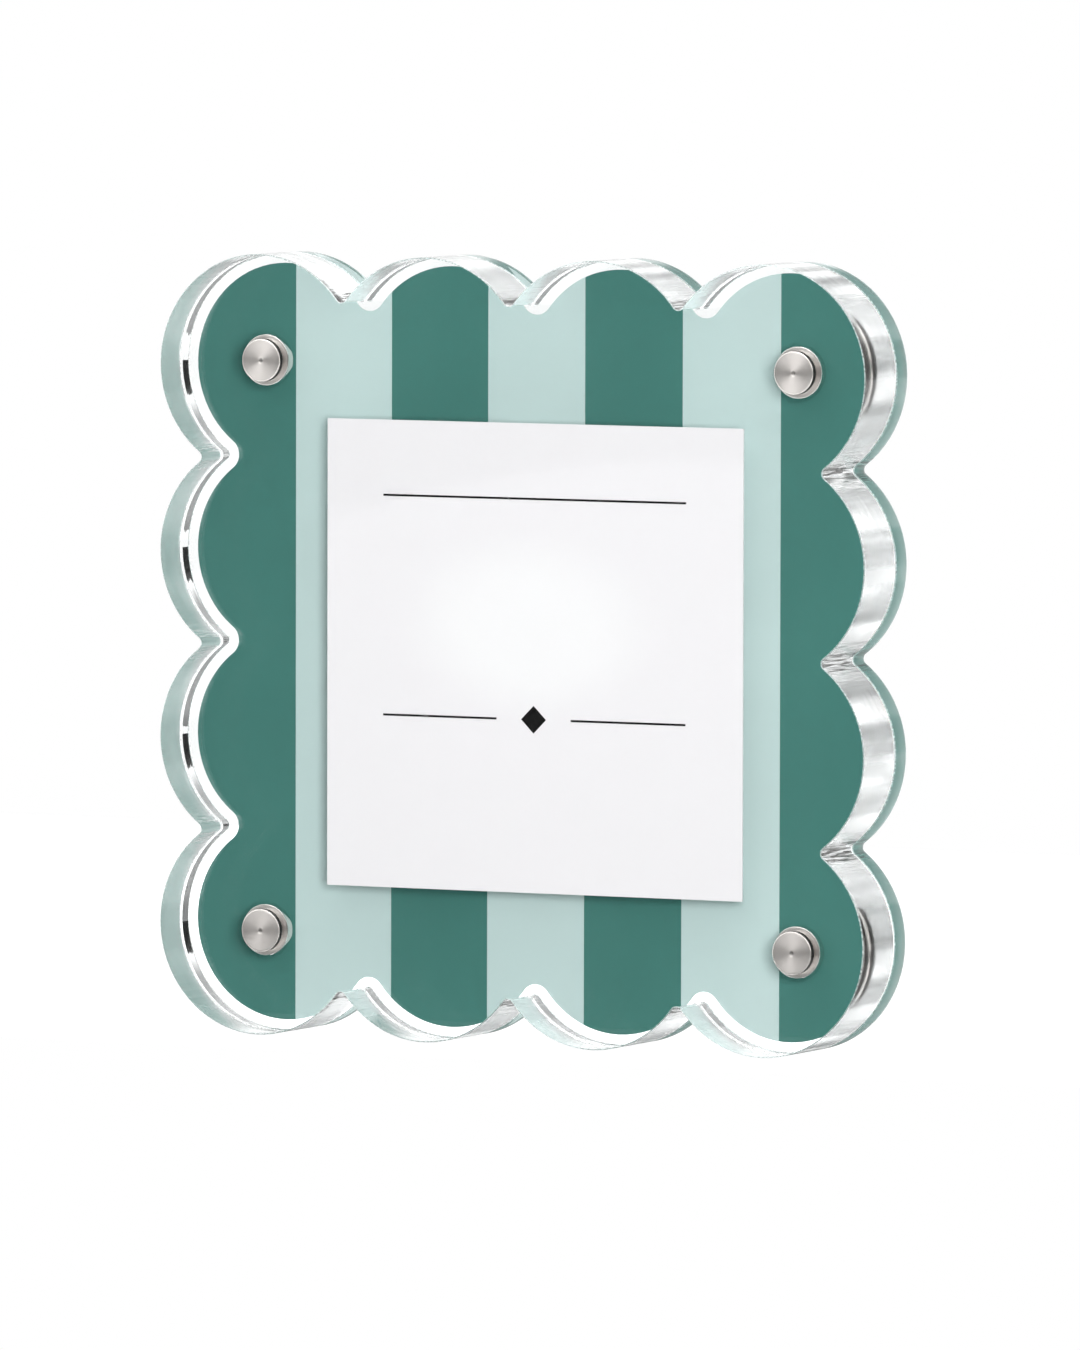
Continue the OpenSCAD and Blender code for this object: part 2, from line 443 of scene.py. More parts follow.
def clear_panel(slab, discs):
    """Tree: a clear panel with blind pockets in the shape of the discs. Its outer wall and its bevels
    have materials of their own."""
    finishes = {"Face": "Material", "Wall": "Material", "Bevelled": "Material"}
    inputs = SLAB_INPUTS | CORNER_INPUTS | finishes
    tree, given = grown_tree("Clear panel", inputs)
    body = grouped(tree, slab, given)
    facing = add(tree, "ShaderNodeSeparateXYZ", add(tree, "GeometryNodeInputNormal")).outputs["Y"]
    facing = add(tree, MATH, facing, operation="ABSOLUTE")
    wall = add(tree, MATH, facing, 0.5, operation="LESS_THAN")
    bevel = add(tree, MATH, facing, 0.7, 0.2, operation="COMPARE")
    for name, chosen in (("wall", wall), ("bevel", bevel)):
        body = add(
            tree, "GeometryNodeStoreNamedAttribute", body, {"Name": name, "Value": chosen},
            data_type="BOOLEAN", domain="FACE")
    pocketed = add(
        tree, "GeometryNodeMeshBoolean", body, grouped(tree, discs, given),
        operation="DIFFERENCE", solver="MANIFOLD")
    mesh = finished(tree, pocketed, given["Face"])
    for name, finish in (("wall", "Wall"), ("bevel", "Bevelled")):
        chosen = add(tree, "GeometryNodeInputNamedAttribute", name, data_type="BOOLEAN")
        mesh = add(tree, "GeometryNodeSetMaterial", mesh, chosen, given[finish])
    add(tree, "NodeGroupOutput", mesh)
    return tree


def stripes(slab):
    """Tree: a layer of ink, either the pale bars or all that they leave free."""
    inputs = SLAB_INPUTS | {"Stripe": "Float", "Bars": "Int", "Pale": "Bool", "Ink": "Material"}
    tree, given = grown_tree("Stripes", inputs)
    layer = grouped(tree, slab, given)
    step = add(tree, MATH, given["Stripe"], 2.0, operation="MULTIPLY")
    gaps = add(tree, MATH, given["Bars"], 1.0, operation="SUBTRACT")
    first = add(tree, MATH, gaps, given["Stripe"], operation="MULTIPLY")
    first = add(tree, MATH, first, -1.0, operation="MULTIPLY")
    start = add(tree, "ShaderNodeCombineXYZ", first, given["Back"], MIDDLE_Z)
    offset = add(tree, "ShaderNodeCombineXYZ", step)
    line = add(tree, "GeometryNodeMeshLine", {
        "Count": given["Bars"], "Start Location": start, "Offset": offset})
    deep = add(tree, MATH, given["Thickness"], 4.0, operation="MULTIPLY")
    tall = add(tree, MATH, given["Side"], 2.0, operation="MULTIPLY")
    bar = add(tree, "GeometryNodeMeshCube", add(tree, "ShaderNodeCombineXYZ", given["Stripe"], deep, tall))
    bars = add(tree, "GeometryNodeInstanceOnPoints", line, {"Instance": bar.outputs["Mesh"]})
    bars = add(tree, "GeometryNodeRealizeInstances", bars)
    dark = add(
        tree, "GeometryNodeMeshBoolean", layer, bars, operation="DIFFERENCE", solver="MANIFOLD")
    pale = add(
        tree, "GeometryNodeMeshBoolean", None, layer, operation="INTERSECT", solver="MANIFOLD")
    tree.links.new(bars.outputs[0], pale.inputs[1])
    ink = add(
        tree, "GeometryNodeSwitch", given["Pale"], dark.outputs["Mesh"], pale.outputs["Mesh"],
        input_type="GEOMETRY")
    add(tree, "NodeGroupOutput", finished(tree, ink, given["Ink"]))
    return tree


def plain_layer(slab):
    """Tree: one layer of ink over the whole print."""
    tree, given = grown_tree("Plain layer", SLAB_INPUTS | {"Ink": "Material"})
    add(tree, "NodeGroupOutput", finished(tree, grouped(tree, slab, given), given["Ink"]))
    return tree


def magnet_set(discs):
    """Tree: the four magnets of one panel."""
    finishes = {"Face": "Material", "Rounding": "Material", "Side": "Material"}
    tree, given = grown_tree("Magnet set", CORNER_INPUTS | finishes)
    mesh = add(tree, "GeometryNodeRealizeInstances", grouped(tree, discs, given))
    mesh = add(tree, "GeometryNodeSetMaterial", mesh, None, given["Side"])
    facing = add(tree, "ShaderNodeSeparateXYZ", add(tree, "GeometryNodeInputNormal")).outputs["Y"]
    facing = add(tree, MATH, facing, operation="ABSOLUTE")
    for name, least in (("Rounding", 0.25), ("Face", 0.8)):
        turned = add(tree, MATH, facing, least, operation="GREATER_THAN")
        mesh = add(tree, "GeometryNodeSetMaterial", mesh, turned, given[name])
    add(tree, "NodeGroupOutput", mesh)
    return tree


def group_once(name, make):
    """The node group of that name, made by make the first time."""
    return bpy.data.node_groups.get(name) or make()


def blank_material(name):
    """A new material's node tree with nothing in it but the output."""
    material = bpy.data.materials.new(name)
    material.use_nodes = True
    material.node_tree.nodes.clear()
    return material, material.node_tree


def lamp_light_passes(tree, shader, tint):
    """Lets light from the lamps through a clear surface, and ends the material."""
    lamp_ray = add(tree, "ShaderNodeLightPath").outputs["Is Shadow Ray"]
    clear = add(tree, "ShaderNodeBsdfTransparent", tint)
    add(tree, "ShaderNodeOutputMaterial", add(tree, "ShaderNodeMixShader", lamp_ray, shader, clear))


def polished_acrylic():
    """Cast acrylic, polished faces: water clear, and they mirror a little of the room."""
    material, tree = blank_material("polished_cast_acrylic")
    place = add(tree, "ShaderNodeTexCoord").outputs["Object"]
    # Faint haze from wiping, in patches about 15 mm wide.
    haze = add(tree, NOISE, place, {"Scale": 1 / (15 * MM), "Detail": 3.0})
    roughness = add(tree, MAP_RANGE, {
        "Value": haze.outputs[0], "From Min": 0.4, "From Max": 0.75, "To Min": 0.0, "To Max": 0.012})
    shader = add(tree, "ShaderNodeBsdfPrincipled", {
        "Base Color": linear("#FDFEFE"), "Roughness": roughness, "IOR": ACRYLIC_IOR,
        "Transmission Weight": 1.0})
    lamp_light_passes(tree, shader, linear("#FDFDFD"))
    return material


def buffed_edge(name, veiled_side, veil, rough_span):
    """Cast acrylic, routed and buffed edge: clear, with shallow ripples that the buff leaves along it, and
    the router's marks through the thickness in the notches, which the buff doesn't reach. The buff has
    gone round one way, so what faces the veiled side, -1 for the left, has a milky veil. Its roughness
    lies within rough_span, rougher on the crests of the ripples."""
    material, tree = blank_material(name)
    place = add(tree, "ShaderNodeTexCoord").outputs["Object"]
    # Ripples 1.6 mm wide and 30 mm long.
    ripples_at = add(tree, "ShaderNodeMapping", place, {
        "Scale": (1 / (30 * MM), 1 / (1.6 * MM), 1 / (30 * MM))})
    ripples = add(tree, NOISE, ripples_at, {"Scale": 1.0, "Detail": 2.0})
    # Marks 0.35 mm wide and 6 mm long.
    marks_at = add(tree, "ShaderNodeMapping", place, {
        "Scale": (1 / (0.35 * MM), 1 / (6 * MM), 1 / (0.35 * MM))})
    marks = add(tree, NOISE, marks_at, {"Scale": 1.0, "Detail": 1.0})
    # Only the notches lie this near to the middle of the frame, counted along the nearer axis.
    x, _, z = add(tree, "ShaderNodeSeparateXYZ", place).outputs
    height = add(tree, MATH, z, MIDDLE_Z, operation="SUBTRACT")
    height = add(tree, MATH, height, operation="ABSOLUTE")
    across = add(tree, MATH, x, operation="ABSOLUTE")
    from_middle = add(tree, MATH, across, height, operation="MAXIMUM")
    in_notch = add(tree, MAP_RANGE, {
        "Value": from_middle, "From Min": 59.5 * MM, "From Max": 57 * MM, "To Max": 1.0})
    rippled = add(tree, "ShaderNodeBump", {
        "Strength": 1.0, "Distance": 0.04 * MM, "Height": ripples})
    cut = add(tree, MATH, marks, in_notch, operation="MULTIPLY")
    bump = add(tree, "ShaderNodeBump", {
        "Strength": 1.0, "Distance": 0.15 * MM, "Height": cut, "Normal": rippled})
    roughness = add(tree, MAP_RANGE, {
        "Value": ripples.outputs[0], "To Min": rough_span[0], "To Max": rough_span[1]} | NOISE_SPAN)
    # The veil lets light through scattered, and is a little thicker in some places.
    surface = add(tree, "ShaderNodeNewGeometry").outputs
    facing = add(
        tree, "ShaderNodeVectorMath", surface["True Normal"], (veiled_side, 0.0, 0.0),
        operation="DOT_PRODUCT")
    # Seen from within, the normal is turned about.
    turned = add(tree, MATH, surface["Backfacing"], -2.0, 1.0, operation="MULTIPLY_ADD")
    facing = add(tree, MATH, facing.outputs["Value"], turned, operation="MULTIPLY")
    clouds = add(tree, NOISE, place, {"Scale": 1 / (12 * MM), "Detail": 2.0})
    thick = add(tree, MAP_RANGE, {
        "Value": clouds.outputs[0], "From Min": 0.35, "From Max": 0.65, "To Min": 0.88 * veil,
        "To Max": 1.12 * veil})
    milky = add(tree, MAP_RANGE, {
        "Value": facing, "From Min": 0.2, "From Max": 0.95, "To Min": 0.0, "To Max": thick}, **SMOOTH)
    # Painted shade: the deepest of the router's marks are painted dark, for the dark dashes that show in
    # the notches.
    deep = add(tree, MAP_RANGE, {
        "Value": cut, "From Min": 0.44, "From Max": 0.54, "To Max": 0.95}, **SMOOTH)
    tint = add(
        tree, "ShaderNodeMix", {SHARE: deep, FIRST: linear("#FCFEFE"), SECOND: linear("#2A2624")},
        data_type="RGBA")
    clear = add(tree, "ShaderNodeBsdfPrincipled", {
        "Base Color": tint.outputs[MIXED], "Roughness": roughness, "IOR": ACRYLIC_IOR,
        "Transmission Weight": 1.0, "Normal": bump})
    scattering = add(tree, "ShaderNodeBsdfTranslucent", linear("#FAFCFC"))
    shader = add(tree, "ShaderNodeMixShader", milky, clear, scattering)
    lamp_light_passes(tree, shader, linear("#F8FAFA"))
    return material


def scraped_bevel():
    """Cast acrylic, bevel scraped and lightly buffed: it scatters light, so it shows as a bright line."""
    material, tree = blank_material("scraped_acrylic_bevel")
    place = add(tree, "ShaderNodeTexCoord").outputs["Object"]
    # Scraper chatter, about 0.5 mm long.
    chatter = add(tree, NOISE, place, {"Scale": 1 / (0.5 * MM), "Detail": 1.0})
    roughness = add(tree, MAP_RANGE, {
        "Value": chatter.outputs[0], "To Min": 0.15, "To Max": 0.4} | NOISE_SPAN)
    shader = add(tree, "ShaderNodeBsdfPrincipled", {
        "Base Color": linear("#FAFCFC"), "Roughness": roughness, "IOR": ACRYLIC_IOR,
        "Transmission Weight": 0.7})
    lamp_light_passes(tree, shader, linear("#E6EAEA"))
    return material


def printed_ink(name, colour):
    """Cured ink on the back of clear acrylic: even and matt, with the print's faint mottle."""
    material, tree = blank_material(name)
    place = add(tree, "ShaderNodeTexCoord").outputs["Object"]
    # Grain 0.4 mm wide, coarser than real droplets so that it shows, on clouds about 25 mm wide.
    grain = add(tree, NOISE, place, {"Scale": 1 / (0.4 * MM), "Detail": 2.0})
    clouds = add(tree, NOISE, place, {"Scale": 1 / (25 * MM), "Detail": 1.0})
    mottle = add(tree, MATH, grain.outputs[0], 0.5, clouds.outputs[0], operation="MULTIPLY_ADD")
    value = add(tree, MAP_RANGE, {
        "Value": mottle, "From Min": 0.5, "From Max": 1.0, "To Min": 0.96, "To Max": 1.04})
    tinted = add(tree, "ShaderNodeHueSaturation", {"Value": value, "Color": tuple(colour)})
    roughness = add(tree, MAP_RANGE, {"Value": grain.outputs[0], "To Min": 0.5, "To Max": 0.62})
    shader = add(tree, "ShaderNodeBsdfPrincipled", {
        "Base Color": tinted, "Roughness": roughness, "Specular IOR Level": 0.1})
    add(tree, "ShaderNodeOutputMaterial", shader)
    return material


def coated_card(colour):
    """Coated card: smooth, almost white, with a painted pool of light: a soft lighter patch above its
    middle.
    """
    material, tree = blank_material("coated_card")
    place = add(tree, "ShaderNodeTexCoord").outputs["Object"]
    # The painted pool of light is 52 mm wide and 34 mm high, above the card's middle.
    light_pool_at = add(tree, "ShaderNodeMapping", place, {
        "Location": (0.0, 0.0, MIDDLE_Z + 4 * MM), "Scale": (26 * MM, 1.0, 17 * MM)},
        vector_type="TEXTURE")
    light_pool = add(tree, "ShaderNodeTexGradient", light_pool_at, gradient_type="SPHERICAL")
    painted_light = add(tree, MAP_RANGE, {"Value": light_pool.outputs[1], "From Max": 0.6, "To Max": 0.6}, **SMOOTH)
    # Fibres under the coating, drawn 0.3 mm wide so that they show.
    fibres = add(tree, NOISE, place, {"Scale": 1 / (0.3 * MM), "Detail": 3.0})
    value = add(tree, MAP_RANGE, {
        "Value": fibres.outputs[0], "To Min": 0.99, "To Max": 1.01} | NOISE_SPAN)
    tone = add(
        tree, "ShaderNodeMix", {SHARE: painted_light, FIRST: tuple(colour), SECOND: linear("#FDFDFD")},
        data_type="RGBA")
    toned = add(tree, "ShaderNodeHueSaturation", {"Value": value, "Color": tone.outputs[MIXED]})
    bump = add(tree, "ShaderNodeBump", {
        "Strength": 0.15, "Distance": 0.01 * MM, "Height": fibres.outputs[0]})
    roughness = add(tree, MAP_RANGE, {"Value": fibres.outputs[0], "To Min": 0.45, "To Max": 0.6})
    shader = add(tree, "ShaderNodeBsdfPrincipled", {
        "Base Color": toned, "Roughness": roughness, "Specular IOR Level": 0.3, "Normal": bump})
    add(tree, "ShaderNodeOutputMaterial", shader)
    return material


def turned_nickel(colour, groove):
    """Nickel plate on the end faces: their fine turned rings stretch each reflection outwards."""
    material, tree = blank_material("turned_nickel")
    along = add(tree, "ShaderNodeSeparateXYZ", add(tree, "ShaderNodeUVMap", uv_map="turned"))
    # The first coordinate counts metres from the middle of the face.
    rings = add(tree, MATH, along.outputs["X"], math.tau / groove, operation="MULTIPLY")
    wave = add(tree, MATH, rings, operation="SINE")
    uneven = add(tree, NOISE, {
        "W": along.outputs["X"], "Scale": 1 / (0.25 * MM), "Detail": 2.0}, noise_dimensions="1D")
    roughness = add(tree, MAP_RANGE, {
        "Value": uneven.outputs[0], "To Min": 0.3, "To Max": 0.38} | NOISE_SPAN)
    value = add(tree, MAP_RANGE, {
        "Value": uneven.outputs[0], "To Min": 0.97, "To Max": 1.02} | NOISE_SPAN)
    # Painted shade: the face is darker in the middle, round the dimple.
    painted_pip_shade = add(tree, MAP_RANGE, {
        "Value": along.outputs["X"], "From Min": 0.2 * MM, "From Max": 0.55 * MM, "To Min": 0.3,
        "To Max": 1.0}, **SMOOTH)
    value = add(tree, MATH, value, painted_pip_shade, operation="MULTIPLY")
    tinted = add(tree, "ShaderNodeHueSaturation", {"Value": value, "Color": tuple(colour)})
    bump = add(tree, "ShaderNodeBump", {"Strength": 0.3, "Distance": 0.0015 * MM, "Height": wave})
    tangent = add(tree, "ShaderNodeTangent", direction_type="UV_MAP", uv_map="turned")
    shader = add(tree, "ShaderNodeBsdfPrincipled", {
        "Base Color": tinted, "Metallic": 1.0, "Roughness": roughness, "Anisotropic": 0.7,
        "Normal": bump, "Tangent": tangent})
    add(tree, "ShaderNodeOutputMaterial", shader)
    return material


def plated_nickel(colour):
    """Nickel plate on the rear discs' sides and round all end faces: a soft mirror, slightly uneven."""
    material, tree = blank_material("plated_nickel")
    place = add(tree, "ShaderNodeTexCoord").outputs["Object"]
    # Plating grain, drawn 0.3 mm wide so that it shows.
    grain = add(tree, NOISE, place, {"Scale": 1 / (0.3 * MM), "Detail": 2.0})
    roughness = add(tree, MAP_RANGE, {
        "Value": grain.outputs[0], "To Min": 0.06, "To Max": 0.12} | NOISE_SPAN)
    bump = add(tree, "ShaderNodeBump", {
        "Strength": 0.1, "Distance": 0.002 * MM, "Height": grain.outputs[0]})
    shader = add(tree, "ShaderNodeBsdfPrincipled", {
        "Base Color": tuple(colour), "Metallic": 1.0, "Roughness": roughness, "Normal": bump})
    add(tree, "ShaderNodeOutputMaterial", shader)
    return material


def nickel_with_painted_shade(colour, painted_shade_colour):
    """Nickel plate on the front discs' sides, with painted shade: a dark matt band from the pocket's bottom
    up to near the joint between the panels.
    """
    material, tree = blank_material("glued_nickel_plate")
    place = add(tree, "ShaderNodeTexCoord").outputs["Object"]
    depth = add(tree, "ShaderNodeSeparateXYZ", place).outputs["Y"]
    from_joint = add(tree, MATH, depth, JOINT_Y, operation="SUBTRACT")
    from_joint = add(tree, MATH, from_joint, operation="ABSOLUTE")
    # The painted shade's edge wavers by 0.2 mm or so, 0.7 mm from the joint between the panels.
    waver = add(tree, NOISE, place, {"Scale": 1 / (1.5 * MM), "Detail": 1.0})
    edge = add(tree, MATH, waver.outputs[0], 0.5 * MM, from_joint, operation="MULTIPLY_ADD")
    painted_side_shade = add(tree, MAP_RANGE, {"Value": edge, "From Min": 0.9 * MM, "From Max": 1.05 * MM}, **SMOOTH)
    tone = add(
        tree, "ShaderNodeMix", {SHARE: painted_side_shade, FIRST: tuple(colour), SECOND: tuple(painted_shade_colour)},
        data_type="RGBA")
    roughness = add(tree, MAP_RANGE, {"Value": painted_side_shade, "To Min": 0.1, "To Max": 0.5})
    metal = add(tree, MATH, 1.0, painted_side_shade, operation="SUBTRACT")
    shader = add(tree, "ShaderNodeBsdfPrincipled", {
        "Base Color": tone.outputs[MIXED], "Metallic": metal, "Roughness": roughness,
        "Specular IOR Level": 0.1})
    add(tree, "ShaderNodeOutputMaterial", shader)
    return material


class MakeClearPanels(bpy.types.Operator):
    """Make the clear front block and the clear rear panel"""

    bl_idname = "photo_frame.clear_panels"
    bl_label = "Clear Panels"

    def execute(self, context):
        sizes = context.scene.frame_panels
        rounding = context.scene.frame_magnets.rounding
        slab = group_once("Scalloped slab", scalloped_slab)
        discs = group_once("Corner discs", corner_discs)
        tree = clear_panel(slab, discs)
        finishes = {"Face": polished_acrylic(), "Bevelled": scraped_bevel()}
        # The piece, its body, its box and its disc's, which way its pockets open, and its wall.
        panels = (
            ("front_block", "front", BLOCK_LOW, BLOCK_HIGH, FRONT_DISC_LOW, FRONT_DISC_HIGH, 1,
             buffed_edge("buffed_block_edge", veiled_side=-1, veil=0.15, rough_span=(0.12, 0.2))),
            ("rear_panel", "rear", PANEL_LOW, PANEL_HIGH, REAR_DISC_LOW, REAR_DISC_HIGH, -1,
             buffed_edge("buffed_panel_edge", veiled_side=1, veil=0.37, rough_span=(0.01, 0.05))))
        for node, body, low, high, disc_low, disc_high, facing, wall in panels:
            pocket = disc_shape(
                body + "_pocket", disc_low, disc_high, rounding, context, -CONTACT, 4 * CONTACT, facing)
            values = slab_values(
                sizes, Margin=0.0, Bevel=sizes.bevel, Thickness=high.y - low.y, Back=high.y)
            values |= corner_values(pocket, disc_low, disc_high) | finishes | {"Wall": wall}
            panel = grow(node + "_clear", tree, values)
            bpy.data.objects.remove(pocket)
            seat(panel, body, "clear_acrylic", node)
        return {"FINISHED"}


def corner_values(disc, low, high):
    """The inputs that put a disc at the four magnet places."""
    return {
        "Disc": disc,
        "Half Across": (low.x + high.x) / 2,
        "Half Up": (low.z + high.z) / 2 - DISCS_MIDDLE_Z,
        "Disc Back": high.y,
    }


def disc_shape(name, low, high, rounding, context, grown_by=0.0, overrun=0.0, facing=1, dimple=0.0):
    """A disc with rounded edges between two corners, lying flat. Its front faces up, and its underside
    is at zero. grown_by widens it all round but not at its open end, which runs on by overrun. With
    facing -1 the open end is the front. Its map counts metres outwards and turns round the disc."""
    steps = context.scene.frame_magnets.turn_steps
    radius = (high.x - low.x) / 2 + grown_by
    depth = high.y - low.y
    bottom, top = -overrun, depth + grown_by
    if facing < 0:
        bottom, top = -grown_by, depth + overrun
    corner_steps = 4
    profile = [(0.0, top)]
    if dimple:
        profile = [(0.0, top - dimple / 3), (dimple / 2, top - dimple / 4), (dimple, top)]
    # The last ring lies close to the rounding, which keeps the face's edge crisp.
    for share in (0.2, 0.4, 0.6, 0.8, 0.99):
        profile.append((dimple + (radius - rounding - dimple) * share, top))
    for end, turn in ((top - rounding, 1), (bottom + rounding, -1)):
        for step in range(corner_steps + 1):
            angle = RIGHT_ANGLE * (1 - step / corner_steps if turn > 0 else step / corner_steps)
            profile.append((
                radius - rounding + rounding * math.cos(angle),
                end + turn * rounding * math.sin(angle)))
    profile.append((0.0, bottom))
    return lathed(name, profile, steps)


def lathed(name, profile, steps):
    """An object turned from a profile of (radius, height) pairs about the Z axis, from the top down."""
    mesh = bmesh.new()
    map_layer = mesh.loops.layers.uv.new("turned")
    travelled = [0.0]
    for (r0, h0), (r1, h1) in zip(profile, profile[1:]):
        travelled.append(travelled[-1] + math.hypot(r1 - r0, h1 - h0))
    rings = []
    for radius, height in profile:
        turns = range(steps) if radius > 0 else range(1)
        rings.append([
            mesh.verts.new((
                radius * math.cos(math.tau * t / steps), radius * math.sin(math.tau * t / steps), height))
            for t in turns])
    for place, (upper, lower) in enumerate(zip(rings, rings[1:])):
        for t in range(steps):
            corners = [
                (upper, t, place), (lower, t, place + 1), (lower, t + 1, place + 1), (upper, t + 1, place)]
            if len(upper) == 1:
                corners = corners[:3]
            elif len(lower) == 1:
                corners = [corners[0], corners[1], corners[3]]
            face = mesh.faces.new([ring[turn % len(ring)] for ring, turn, _ in corners])
            face.smooth = True
            for loop, (_, turn, at) in zip(face.loops, corners):
                loop[map_layer].uv = (travelled[at], turn / steps)
    return built(name, mesh)


class MakeStripedPrint(bpy.types.Operator):
    """Make the striped print and the white ink behind it"""

    bl_idname = "photo_frame.striped_print"
    bl_label = "Striped Print"

    def execute(self, context):
        sizes = context.scene.frame_panels
        print_sizes = context.scene.frame_print
        slab = group_once("Scalloped slab", scalloped_slab)
        tree = stripes(slab)
        layer = slab_values(
            sizes, Margin=print_sizes.margin, Bevel=0.0,
            Thickness=PRINT_HIGH.y - PRINT_LOW.y + CONTACT, Back=PRINT_HIGH.y,
            Stripe=print_sizes.stripe, Bars=print_sizes.pale_stripes)
        dark_ink = printed_ink("dark_green_ink", print_sizes.dark_colour)
        pale_ink = printed_ink("pale_green_ink", print_sizes.pale_colour)
        white_ink = printed_ink("white_backing_ink", linear("#EEEEEC"))
        dark = grow("stripes_dark", tree, layer | {"Pale": False, "Ink": dark_ink})
        pale = grow("stripes_pale", tree, layer | {"Pale": True, "Ink": pale_ink})
        backing = grow("backing_white", plain_layer(slab), layer | {
            "Thickness": BACKING_HIGH.y - BACKING_LOW.y, "Back": BACKING_HIGH.y, "Ink": white_ink})
        seat(dark, "rear", "dark_ink", "dark_stripes")
        seat(pale, "rear", "pale_ink", "pale_stripes")
        seat(backing, "rear", "white_ink", "white_backing")
        return {"FINISHED"}


class MakePhotoCard(bpy.types.Operator):
    """Make the photo card with its printed rules"""

    bl_idname = "photo_frame.photo_card"
    bl_label = "Photo Card"

    def execute(self, context):
        sizes = context.scene.frame_card
        card = extruded(
            "card_sheet", [rounded_square(CARD_LOW, CARD_HIGH, sizes.corner)], CARD_LOW.y, CARD_HIGH.y)
        card.data.materials.append(coated_card(sizes.colour))
        middle_x = (CARD_LOW.x + CARD_HIGH.x) / 2
        # Distances on the card: of the rules below its top, and of their ends from its middle.
        upper_rule = CARD_HIGH.z - 12.2 * MM
        lower_rule = CARD_HIGH.z - 47.9 * MM
        rule_end = 27.3 * MM
        ornament_gap = 6.7 * MM
        shapes = [
            bar(middle_x - rule_end, middle_x + rule_end, upper_rule, sizes.rule),
            bar(middle_x - rule_end, middle_x - ornament_gap, lower_rule, sizes.rule),
            bar(middle_x + ornament_gap, middle_x + rule_end, lower_rule, sizes.rule),
            lozenge(middle_x, lower_rule, sizes.lozenge),
        ]
        rules = extruded("card_rules", shapes, CARD_LOW.y - CONTACT, CARD_LOW.y + CONTACT)
        rules.data.materials.append(printed_ink("black_rule_ink", sizes.ink_colour))
        seat(card, "photo", "card_paper", "photo_card")
        seat(rules, "photo", "card_paper")
        return {"FINISHED"}


def rounded_square(low, high, radius):
    """The outline, as (x, z) points, between two corners with rounded corners."""
    steps = 6
    points = []
    centres = ((high.x, high.z, 0), (low.x, high.z, 1), (low.x, low.z, 2), (high.x, low.z, 3))
    for x, z, quarter in centres:
        inward_x = -radius if x > low.x else radius
        inward_z = -radius if z > low.z else radius
        for step in range(steps + 1):
            angle = RIGHT_ANGLE * (quarter + step / steps)
            points.append((
                x + inward_x + radius * math.cos(angle),
                z + inward_z + radius * math.sin(angle)))
    return points


def bar(x0, x1, z, thickness):
    """The outline of a rule."""
    half = thickness / 2
    return [(x1, z - half), (x1, z + half), (x0, z + half), (x0, z - half)]


def lozenge(x, z, width):
    """The outline of a plain lozenge."""
    half = width / 2
    return [(x + half, z), (x, z + half), (x - half, z), (x, z - half)]


def extruded(name, outlines, front, back):
    """Flat outlines of (x, z) points, anticlockwise from the front, given a thickness."""
    mesh = bmesh.new()
    for outline in outlines:
        near = [mesh.verts.new((x, front, z)) for x, z in outline]
        far = [mesh.verts.new((x, back, z)) for x, z in outline]
        mesh.faces.new(near)
        mesh.faces.new(far[::-1])
        for i in range(len(near)):
            j = (i + 1) % len(near)
            mesh.faces.new([near[j], near[i], far[i], far[j]])
    return built(name, mesh)


class MakeMagnets(bpy.types.Operator):
    """Make the four pairs of disc magnets"""

    bl_idname = "photo_frame.magnets"
    bl_label = "Magnets"

    def execute(self, context):
        sizes = context.scene.frame_magnets
        discs = group_once("Corner discs", corner_discs)
        tree = magnet_set(discs)
        plate = plated_nickel(sizes.colour)
        ends = {"Face": turned_nickel(sizes.colour, sizes.groove), "Rounding": plate}
        # The front discs' sides carry painted shade.
        sides = {"front": nickel_with_painted_shade(sizes.colour, sizes.painted_shade_colour), "rear": plate}
        for body, low, high in (
                ("front", FRONT_DISC_LOW, FRONT_DISC_HIGH), ("rear", REAR_DISC_LOW, REAR_DISC_HIGH)):
            disc = disc_shape(body + "_disc", low, high, sizes.rounding, context, dimple=sizes.dimple)
            magnets = grow(
                "magnets_" + body, tree, corner_values(disc, low, high) | ends | {"Side": sides[body]})
            bpy.data.objects.remove(disc)
            seat(magnets, body, "nickel", *(f"{body}_magnet_{corner}" for corner in CORNERS))
        return {"FINISHED"}


class SetStage(bpy.types.Operator):
    """Set up the floor, the light and the camera"""

    bl_idname = "photo_frame.stage"
    bl_label = "Stage"

    def execute(self, context):
        studio = context.scene.frame_studio
        set_camera(context.scene)
        set_floor()
        set_surround(context.scene, studio.surround)
        for name, (place, size, mirrored) in LAMPS.items():
            set_lamp(name + "_light", place, size, getattr(studio, name + "_power"), mirrored)
        context.scene.view_settings.view_transform = "Standard"
        for kind, count in BOUNCES.items():
            setattr(context.scene.cycles, kind, count)
        return {"FINISHED"}


def set_camera(scene):
    """The camera at the photograph's viewpoint."""
    azimuth, elevation = VIEW_AZIMUTH, VIEW_ELEVATION
    back = Vector((
        math.sin(azimuth) * math.cos(elevation),
        -math.cos(azimuth) * math.cos(elevation),
        math.sin(elevation)))
    level_right = Vector((math.cos(azimuth), math.sin(azimuth), 0))
    level_up = back.cross(level_right)
    right = math.cos(VIEW_ROLL) * level_right + math.sin(VIEW_ROLL) * level_up
    up = math.cos(VIEW_ROLL) * level_up - math.sin(VIEW_ROLL) * level_right
    camera = placed("camera", bpy.data.cameras.new("camera"))
    front_middle = Vector((0, BLOCK_LOW.y, MIDDLE_Z))
    place = front_middle + back * VIEW_DISTANCE + right * VIEW_RIGHT + up * VIEW_UP
    turn = Matrix((right, up, back)).transposed().to_4x4()
    camera.matrix_world = Matrix.Translation(place) @ turn
    camera.data.sensor_width = SENSOR
    camera.data.lens = PIXELS_PER_METRE * VIEW_DISTANCE / max(IMAGE_WIDTH, IMAGE_HEIGHT) * SENSOR
    scene.camera = camera


